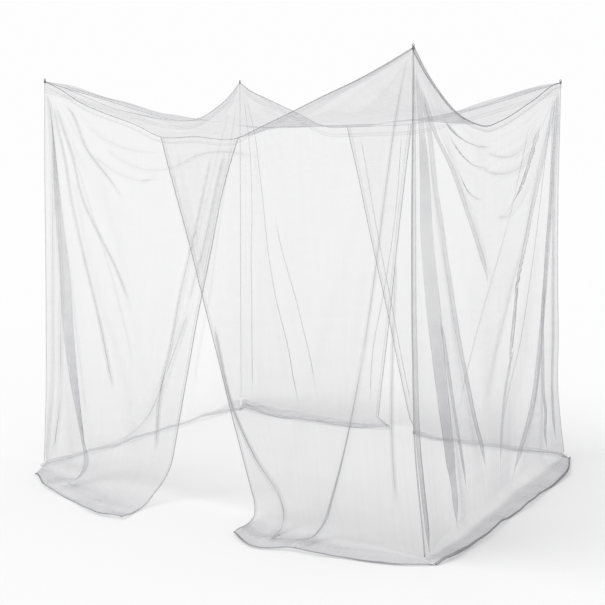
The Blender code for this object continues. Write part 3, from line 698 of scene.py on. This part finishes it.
def sheer(name, thread, cover, hem_cover, streaks, thinnest, denser_at_hem=1.0):
    """A net finish: cover is the share that threads hide, hem_cover the same in hems, thinnest the
    slant past which it gets no denser, denser_at_hem how many times denser, and so darker, it is at the hem."""
    made = bpy.data.materials.new(name)
    made.use_nodes = True
    tree = made.node_tree
    tree.nodes.clear()
    combine = partial(calculate, tree)
    place = add_node(tree, "ShaderNodeUVMap", {"uv_map": "cloth"}).outputs[0]
    split = add_node(tree, "ShaderNodeSeparateXYZ", i0=place)
    threads = []
    for scale in (WARP_SCALE, WEFT_SCALE):
        stretched = add_node(tree, "ShaderNodeMapping", Vector=place, Scale=scale).outputs[0]
        noise = add_node(tree, "ShaderNodeTexNoise", Vector=stretched, Scale=1.0, Detail=1.5)
        threads.append(noise.outputs[0])
    both = combine("ADD", *threads)
    around = combine("MULTIPLY_ADD", both, streaks)
    around.node.inputs[2].default_value = 1.0 - streaks
    # darker towards the hem: the cover rises to denser_at_hem times its value at the hem, easing back by
    # DENSER_UP_TO
    low = add_node(tree, "ShaderNodeMapRange", {"interpolation_type": "SMOOTHSTEP"},
                   i0=split.outputs[1], i2=DENSER_UP_TO, i3=cover * denser_at_hem, i4=cover)
    crowd = add_node(tree, "ShaderNodeAttribute", {"attribute_name": "crowd"}).outputs["Fac"]
    closer = combine("ADD", crowd, 1.0)
    body = combine("MULTIPLY", around, low.outputs[0])
    body = combine("MULTIPLY", body, closer)
    from_edge = combine("MINIMUM", split.outputs[0], split.outputs[1])
    in_hem = combine("LESS_THAN", from_edge, HEM_DEPTH)
    past_stitch = combine("GREATER_THAN", from_edge, STITCH_AT)
    on_edge = combine("LESS_THAN", from_edge, EDGE_LINE)
    stitch = combine("MULTIPLY", past_stitch, in_hem)
    line = combine("MAXIMUM", stitch, on_edge)
    extra = combine("MULTIPLY", in_hem, hem_cover - cover)
    extra_line = combine("MULTIPLY", line, hem_cover * 0.8)
    hidden = combine("ADD", body, extra)
    hidden = combine("ADD", hidden, extra_line, clamp=True)
    open_share = combine("SUBTRACT", 1.0, hidden)
    slant = add_node(tree, "ShaderNodeLayerWeight", Blend=0.5).outputs["Facing"]
    level = combine("SUBTRACT", 1.0, slant)
    level = combine("MAXIMUM", level, thinnest)
    threads_met = combine("DIVIDE", 1.0, level)
    still_open = combine("POWER", open_share, threads_met)
    covered = combine("SUBTRACT", 1.0, still_open, clamp=True)
    front = add_node(tree, "ShaderNodeBsdfPrincipled", Roughness=0.85)
    front.inputs["Base Color"].default_value = linear(thread)
    front.inputs["Specular IOR Level"].default_value = 0.2
    through_it = add_node(tree, "ShaderNodeBsdfTranslucent", Color=linear(thread))
    fibre = add_node(tree, "ShaderNodeMixShader", i0=0.45, i1=front.outputs[0], i2=through_it.outputs[0])
    nothing = add_node(tree, "ShaderNodeBsdfTransparent")
    mix = add_node(tree, "ShaderNodeMixShader", i0=covered, i1=nothing.outputs[0], i2=fibre.outputs[0])
    add_node(tree, "ShaderNodeOutputMaterial", Surface=mix.outputs[0])
    print(name, "covers", cover, "in hems", hem_cover)
    return made


# %% Nets, tape and bindings
# painted shade: the white thread is coloured pale grey, standing in for the shade the threads cast on each
# other
THREAD_GREY_PAINTED_SHADE = "#ACACB0"
NETS = {
    "front_left_curtain": sheer("polyester_net_knitted_loose", THREAD_GREY_PAINTED_SHADE, 0.062, 0.13, 0.40, 0.12, 2.3),
    "front_right_curtain": sheer("polyester_net_knitted_close", THREAD_GREY_PAINTED_SHADE, 0.086, 0.15, 0.40, 0.08, 2.1),
    "back_left_curtain": sheer("polyester_net_knitted_back", THREAD_GREY_PAINTED_SHADE, 0.068, 0.15, 0.40, 0.08, 1.7),
    "left_side": sheer("polyester_net_knitted_stretched", THREAD_GREY_PAINTED_SHADE, 0.042, 0.15, 0.40, 0.08, 1.3),
    "right_side": sheer("polyester_net_knitted_gathered", THREAD_GREY_PAINTED_SHADE, 0.070, 0.15, 0.40, 0.08, 2.15),
}
NETS["back_right_curtain"] = NETS["back_left_curtain"]
ROOF_NET = sheer("polyester_net_knitted_roof", THREAD_GREY_PAINTED_SHADE, 0.080, 0.15, 0.40, 0.24)
# painted shade: tape, seam binding and rolled hems are the same white net; their grey, darkest in the
# binding, stands in for the shade inside their folds and rolls
TAPE = sheer("doubled_net_heading_tape", "#ADADB1", 0.04, 0.10, 0.30, 0.08)
BINDING = sheer("seam_binding_folded_net", "#929296", 0.28, 0.28, 0.0, 0.12)
BUNCHED = sheer("hem_loosely_rolled_net", "#A4A4A8", 0.075, 0.075, 0.0, 0.40)


# %% Cord of the loops
def plain(name, colour, roughness):
    """An opaque matte finish."""
    made = bpy.data.materials.new(name)
    made.use_nodes = True
    shader = made.node_tree.nodes["Principled BSDF"]
    shader.inputs["Base Color"].default_value = linear(colour)
    shader.inputs["Roughness"].default_value = roughness
    return made


CORD = plain("braided_polyester_cord_grey", "#77777A", 0.8)

# %% [markdown]
# ## Making a sheet
#
# A grid is made flat, one cell for each small patch of cloth, and its points are moved to their
# place on the panel. Its UV map is in metres of cloth: sideways from the free edge and up from the
# hem. The finish reads hems and the run of the threads from it.


# %% Object and sheet makers
def shown(name, mesh, finish):
    """An object for a mesh, put in the scene with its finish and smooth shading."""
    mesh.materials.append(finish)
    mesh.shade_smooth()
    piece = bpy.data.objects.new(name, mesh)
    scene.collection.objects.link(piece)
    return piece


def sheet(name, columns, rows, place, cloth, finish, crowd=None):
    """A fine grid moved to place(across, down), with a UV map in metres of cloth."""
    bm = bmesh.new()
    bmesh.ops.create_grid(bm, x_segments=columns, y_segments=rows, size=0.5)
    mesh = bpy.data.meshes.new(name)
    bm.to_mesh(mesh)
    bm.free()
    flat = np.empty(len(mesh.vertices) * 3)
    mesh.vertices.foreach_get("co", flat)
    flat = flat.reshape(-1, 3)
    across = flat[:, 0] + 0.5
    down = 0.5 - flat[:, 1]
    mesh.vertices.foreach_set("co", place(across, down).ravel())
    corner = np.empty(len(mesh.loops), int)
    mesh.loops.foreach_get("vertex_index", corner)
    sideways, upwards = cloth(across, down)
    uv = mesh.uv_layers.new(name="cloth")
    uv.uv.foreach_set("vector", np.column_stack((sideways[corner], upwards[corner])).ravel())
    if crowd:
        mesh.attributes.new("crowd", "FLOAT", "POINT").data.foreach_set("value", crowd(across, down))
    mesh.update()
    print(name, "has", len(mesh.polygons), "cells")
    return shown(name, mesh, finish)


# %% The six hanging panels
FREE_EDGE = {"front_left_curtain": "last", "front_right_curtain": "first",
             "back_left_curtain": "last", "back_right_curtain": "first"}
CLOTH_LENGTH = 2.0  # seam to hem, for the finish
PAST_HEM = 0.1  # so far from an edge the finish shows no hem

for panel in PANELS:
    wide = panel.stations[-1].seam - panel.stations[0].seam
    free = FREE_EDGE.get(panel.name)
    columns = pleat_columns(panel)

    def follow(across, down, columns=columns):
        """The grid's own share across becomes the share at which its column lies in that row."""
        row = np.round(down * ROWS).astype(int)
        column = np.round(across * (columns.shape[1] - 1)).astype(int)
        return columns[row, column]

    def place(across, down, panel=panel, follow=follow):
        return panel_place(panel, follow(across, down), down)

    def cloth(across, down, wide=wide, free=free, follow=follow):
        share = follow(across, down)
        sideways = {"last": (1 - share) * wide, "first": share * wide}.get(free, share * wide + PAST_HEM)
        return sideways, (1 - down) * CLOTH_LENGTH

    def crowd(across, down, panel=panel, follow=follow):
        return panel_crowd(panel, follow(across, down), down)

    piece = sheet("sheer_" + panel.name, COLUMNS[panel.wall], ROWS, place, cloth, NETS[panel.name], crowd)
    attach(piece, "root")
    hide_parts(panel.name)

# %% [markdown]
# ## The roof
#
# The roof is one rectangle. Its height at a place is a blend of the four seams and of a nearly
# level middle, nearer seams counting more, so it dips away from every corner. Tension lines run
# from each corner towards the middle.


# %% Roof sheet
ROOF_COLUMNS, ROOF_ROWS = 200, 150
ROOF_WAVES = 0.005
RoofLine = namedtuple("RoofLine", "corner angle depth width reach")
FOUR_LINES = [(0.010, 0.020), (-0.012, 0.026), (0.012, 0.026), (-0.010, 0.022)]
THREE_LINES = [(0.010, 0.020), (-0.012, 0.026), (0.010, 0.022)]
ROOF_LINES = []
for corner, lines, angles, reaches in [
        ((0, 0), FOUR_LINES, (14, 30, 47, 68), (1.1, 0.9, 0.8, 0.7)),
        ((1, 0), FOUR_LINES, (16, 34, 52, 70), (0.9, 0.8, 0.7, 0.6)),
        ((0, 1), THREE_LINES, (18, 40, 62), (0.8, 0.8, 0.7)),
        ((1, 1), THREE_LINES, (15, 36, 60), (0.8, 0.8, 0.7))]:
    for (depth, width), angle, reach in zip(lines, angles, reaches):
        ROOF_LINES.append(RoofLine(corner, angle, depth, width, reach))


def roof_place(across, deep):
    """Places of the roof's cloth: across its length and back through its width, both as shares."""
    edges = [
        (deep * WIDTH, through(SEAM_FRONT, across)),
        ((1 - deep) * WIDTH, through(SEAM_BACK, across)),
        (across * LENGTH, through(SEAM_LEFT, deep)),
        ((1 - across) * LENGTH, through(SEAM_RIGHT, deep)),
    ]
    weights = [1 / np.maximum(away, 0.002) ** 2 for away, _ in edges]
    middle = 1 / ROOF_PULL**2
    height = sum(w * h for w, (_, h) in zip(weights, edges)) + middle * ROOF_LEVEL
    height = height / (sum(weights) + middle)
    inside = eased(np.minimum.reduce([away for away, _ in edges]) / 0.06)
    for line in ROOF_LINES:
        x = (across - line.corner[0]) * LENGTH * (1 - 2 * line.corner[0])
        y = (deep - line.corner[1]) * WIDTH * (1 - 2 * line.corner[1])
        turn = math.radians(line.angle)
        ahead = x * math.cos(turn) + y * math.sin(turn)
        beside = y * math.cos(turn) - x * math.sin(turn)
        width = line.width * np.clip(ahead / 0.3, 0.3, 1.5)
        fade = eased(ahead / 0.15) * eased((line.reach - ahead) / 0.4)
        height = height + line.depth * fade * np.exp(-((beside / width) ** 2)) * inside
    height = height + ROOF_WAVES * inside * uneven(across * LENGTH, deep * WIDTH, 0.35, 4.0)
    x = (across - 0.5) * (LENGTH - 2 * ROOF_INSET)
    y = (deep - 0.5) * (WIDTH - 2 * ROOF_INSET)
    return placed(x, y, height)


def roof_crowd(across, down):
    """How much more closely the roof's threads lie at its two corners where they bunch most tightly."""
    front_right = np.hypot((1 - across) * LENGTH, (1 - down) * WIDTH)
    back_left = np.hypot(across * LENGTH, down * WIDTH)
    return 1.1 * np.exp(-((front_right / 0.42) ** 2)) + 0.7 * np.exp(-((back_left / 0.35) ** 2))


roof = sheet("sheer_roof_panel", ROOF_COLUMNS, ROOF_ROWS,
             lambda across, down: roof_place(across, 1 - down),
             lambda across, down: (across * LENGTH + PAST_HEM, down * WIDTH + PAST_HEM),
             ROOF_NET, roof_crowd)
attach(roof, "root")
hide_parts("roof_panel")

# %% [markdown]
# ## Heading tape
#
# The tape is a strip of doubled net under the roof seam. It follows the seam just outside the
# wall, and its lower stitched edge is what draws the second line round the top of a real net.

# %% Tape strips
TAPE_DEPTH = {"front": 0.024, "back": 0.055, "left": 0.050, "right": 0.024}
TAPE_STANDS_OFF = 0.012
TAPE_COLUMNS, TAPE_ROWS = 160, 8
TAPE_CLOTH = 0.055  # depth of the tape, for the finish


def tape_place(wall, depth, across, down):
    """Places of a heading tape, along its wall and down its depth, both as shares."""
    top = through(wall.seam, across) - SEAM_GAP
    along = TAPE_STANDS_OFF + across * (wall.length - 2 * TAPE_STANDS_OFF)
    out = TAPE_STANDS_OFF + 0.002 * np.sin(40 * across) * down
    return on_wall(wall, along, out, top - down * depth)


for wall_name, wall in WALLS.items():
    depth = TAPE_DEPTH[wall_name]
    tape = sheet("sheer_" + wall_name + "_tape", TAPE_COLUMNS, TAPE_ROWS,
                 lambda across, down, wall=wall, depth=depth: tape_place(wall, depth, across, down),
                 lambda across, down, wall=wall: (across * wall.length + PAST_HEM, (1 - down) * TAPE_CLOTH),
                 TAPE)
    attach(tape, "root")
    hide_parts(wall_name + "_heading_tape")

# %% [markdown]
# ## Seam binding
#
# Every seam is bound with a narrow strip folded round the raw edges, which rolls up into a thin
# cord. A ring of points is drawn out along the seam, one extrusion for each short step.


# %% Binding maker
def binding(name, points, radii, sides, finish):
    """A thin round roll along points, closed at both ends."""
    bm = bmesh.new()
    ring = bmesh.ops.create_circle(bm, cap_ends=True, radius=1.0, segments=sides)["verts"]
    flat = [vert.co.copy() for vert in ring]
    facing = Vector((0, 0, 1))
    turn = facing.rotation_difference(facing)
    for i, (point, radius) in enumerate(zip(points, radii)):
        ahead = points[min(i + 1, len(points) - 1)] - points[max(i - 1, 0)]
        turn = facing.rotation_difference(ahead) @ turn
        facing = ahead
        frame_here = Matrix.Translation(point) @ turn.to_matrix().to_4x4() @ Matrix.Scale(radius, 4)
        if i:
            edges = {edge for vert in ring for edge in vert.link_edges if edge.other_vert(vert) in ring}
            drawn = bmesh.ops.extrude_edge_only(bm, edges=list(edges))["geom"]
            new = [item for item in drawn if isinstance(item, bmesh.types.BMVert)]
            order = {old: next(v for v in new if (v.co - old.co).length < 1e-9) for old in ring}
            ring = [order[old] for old in ring]
        for vert, at in zip(ring, flat):
            vert.co = frame_here @ at
    bmesh.ops.holes_fill(bm, edges=[edge for edge in bm.edges if edge.is_boundary])
    bmesh.ops.recalc_face_normals(bm, faces=bm.faces)
    mesh = bpy.data.meshes.new(name)
    bm.to_mesh(mesh)
    bm.free()
    uv = mesh.uv_layers.new(name="cloth")
    uv.uv.foreach_set("vector", [0.5] * (2 * len(mesh.loops)))
    piece = shown(name, mesh, finish)
    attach(piece, "root")
    print(name, "is", round(sum((b - a).length for a, b in zip(points, points[1:])), 3), "m long")
    return piece


# %% Roof seams
SEAM_POINTS, CORNER_POINTS, HEM_POINTS, EDGE_POINTS = 90, 80, 150, 170  # along a roll
FINE_SIDES, THICK_SIDES = 6, 8  # round a roll
SEAM_ROLL = {  # share of the seam, radius of the roll
    "front": [(0.0, 0.0028), (0.3, 0.0020), (0.7, 0.0020), (1.0, 0.0034)],
    "back": [(0.0, 0.0026), (0.3, 0.0018), (0.7, 0.0018), (1.0, 0.0026)],
    "left": [(0.0, 0.0026), (0.3, 0.0018), (0.7, 0.0018), (1.0, 0.0026)],
    "right": [(0.0, 0.0064), (0.12, 0.0048), (0.30, 0.0032), (0.7, 0.0026), (1.0, 0.0028)],
}
for wall_name, wall in WALLS.items():
    shares = np.linspace(0.0, 1.0, SEAM_POINTS)
    heights = through(wall.seam, shares) - SEAM_GAP / 2
    points = [Vector(place) for place in on_wall(wall, shares * wall.length, 0.0, heights)]
    radii = through(SEAM_ROLL[wall_name], shares)
    roll = binding(wall_name + "_seam_binding", points, radii, THICK_SIDES, BINDING)

# %% Corner seams
Corner = namedtuple("Corner", "name x_side y_side peak radius")
CORNERS = [Corner("front_left", -1, -1, 1.955, 0.0018), Corner("front_right", 1, -1, 2.000, 0.0028),
           Corner("back_left", -1, 1, 2.045, 0.0018), Corner("back_right", 1, 1, 1.960, 0.0018)]
CORNER_END = 0.012  # a corner's roll stops this far from the floor and from the peak
for corner in CORNERS:
    heights = np.linspace(CORNER_END, corner.peak - CORNER_END, CORNER_POINTS)
    places = placed(corner.x_side * LENGTH / 2, corner.y_side * WIDTH / 2, heights)
    points = [Vector(place) for place in places]
    radii = [corner.radius] * CORNER_POINTS
    roll = binding(corner.name + "_corner_binding", points, radii, FINE_SIDES, BINDING)

# %% [markdown]
# ## Rolled hems
#
# Each hem is folded over and stitched, and its very edge curls into a thin roll. At the back and
# the left side the hem has rolled up more loosely, into a soft see-through band. The rolls follow
# the edge of the finished cloth, so they are drawn through points of the same surface.

# %% Hem and edge rolls
HEM_ROLL = {"front_left_curtain": 0.0022, "front_right_curtain": 0.0028, "right_side": 0.0050,
            "back_left_curtain": 0.010, "back_right_curtain": 0.010, "left_side": 0.008}
LOOSE_FROM = 0.007  # radius from which a roll is loose
EDGE_ROLL, EDGE_START = 0.0020, 0.004  # radius, and the share of the edge above the roll
for panel in PANELS:
    shares = np.linspace(0.0, 1.0, HEM_POINTS)
    edge = panel_place(panel, shares, np.ones_like(shares))
    radii = HEM_ROLL[panel.name] * (1 + 0.25 * np.sin(11 * shares + 2 * np.sin(7 * shares)))
    points = [Vector(place) + Vector((0, 0, radius)) for place, radius in zip(edge, radii)]
    loose = HEM_ROLL[panel.name] > LOOSE_FROM
    sides, finish = (THICK_SIDES, BUNCHED) if loose else (FINE_SIDES, BINDING)
    roll = binding(panel.name + "_hem_roll", points, radii, sides, finish)
    free = FREE_EDGE.get(panel.name)
    if free:
        downs = np.linspace(EDGE_START, 1.0, EDGE_POINTS)
        edge = panel_place(panel, np.full_like(downs, 1.0 if free == "last" else 0.0), downs)
        points = [Vector(place) for place in edge]
        roll = binding(panel.name + "_edge_roll", points, [EDGE_ROLL] * EDGE_POINTS, FINE_SIDES, BINDING)

# %% [markdown]
# ## Corner loops
#
# A short cord is sewn to each corner and stands up as a small loop. Below it the corner of the
# cloth is gathered and wound with thread, which makes a small dark knot.

# %% Loops and knots
KNOT_RADIUS, KNOT_STRETCH, KNOT_BELOW = 0.0055, 1.7, 0.004
for node_name in ("loop_front_left", "loop_front_right", "loop_back_left", "loop_back_right"):
    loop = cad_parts[node_name]
    loop.data.materials.clear()
    loop.data.materials.append(CORD)
    low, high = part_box(node_name)
    centre = (low + high) / 2
    bm = bmesh.new()
    bmesh.ops.create_uvsphere(bm, u_segments=16, v_segments=10, radius=KNOT_RADIUS)
    bmesh.ops.scale(bm, vec=(1.0, 1.0, KNOT_STRETCH), verts=bm.verts)
    bmesh.ops.translate(bm, vec=(centre.x, centre.y, low.z - KNOT_BELOW), verts=bm.verts)
    mesh = bpy.data.meshes.new("knot_" + node_name)
    bm.to_mesh(mesh)
    bm.free()
    knot = shown(mesh.name, mesh, CORD)
    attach(knot, "root")
    print(node_name, "hangs at", [round(value, 3) for value in centre])

# %% [markdown]
# ## Floor, light and camera
#
# The floor and the world are equally bright, so the floor has no edge. A broad sun from the upper
# left adds the soft shade that the net lays on the floor. The share of the sun in the light sets how
# deep that shade is.

# %% Floor
bm = bmesh.new()
bmesh.ops.create_grid(bm, x_segments=1, y_segments=1, size=150.0)
floor_mesh = bpy.data.meshes.new("studio_floor")
bm.to_mesh(floor_mesh)
bm.free()
floor = bpy.data.objects.new("studio_floor", floor_mesh)
matt = plain("matt_white_studio_floor", "#DBDBDB", 1.0)
matt.node_tree.nodes["Principled BSDF"].inputs["Specular IOR Level"].default_value = 0.0
floor_mesh.materials.append(matt)
scene.collection.objects.link(floor)
print("floor laid")

# %% World and sun
world = bpy.data.worlds.new("studio_world")
scene.world = world
world.use_nodes = True
world.node_tree.nodes["Background"].inputs["Color"].default_value = (0.985, 0.985, 0.985, 1.0)
world.node_tree.nodes["Background"].inputs["Strength"].default_value = 1.0

sun_data = bpy.data.lights.new("window_sun", "SUN")
sun_data.energy = 1.60
sun_data.angle = math.radians(34)
sun = bpy.data.objects.new("window_sun", sun_data)
sun_from = Vector((-0.68, -0.50, 1.12))
sun.rotation_euler = sun_from.to_track_quat("Z", "Y").to_euler()
scene.collection.objects.link(sun)
scene.view_settings.view_transform = "Standard"
scene.cycles.transparent_max_bounces = 48
print("sun comes from", [round(value, 2) for value in sun_from.normalized()])

# %% Camera
camera_data = bpy.data.cameras.new("camera")
camera_data.lens = 59.32
camera_data.sensor_width = 36.0
camera_data.shift_y = -0.15
camera = bpy.data.objects.new("camera", camera_data)
camera.location = MIDDLE + Vector((2.8796, -4.2283, 1.5933))
turn = math.radians(34.449)
pitch = math.radians(3.356)
look = Vector((-math.sin(turn) * math.cos(pitch), math.cos(turn) * math.cos(pitch), -math.sin(pitch)))
camera.rotation_euler = (-look).to_track_quat("Z", "Y").to_euler()
scene.collection.objects.link(camera)
scene.camera = camera
print("camera at", [round(value, 3) for value in camera.location])
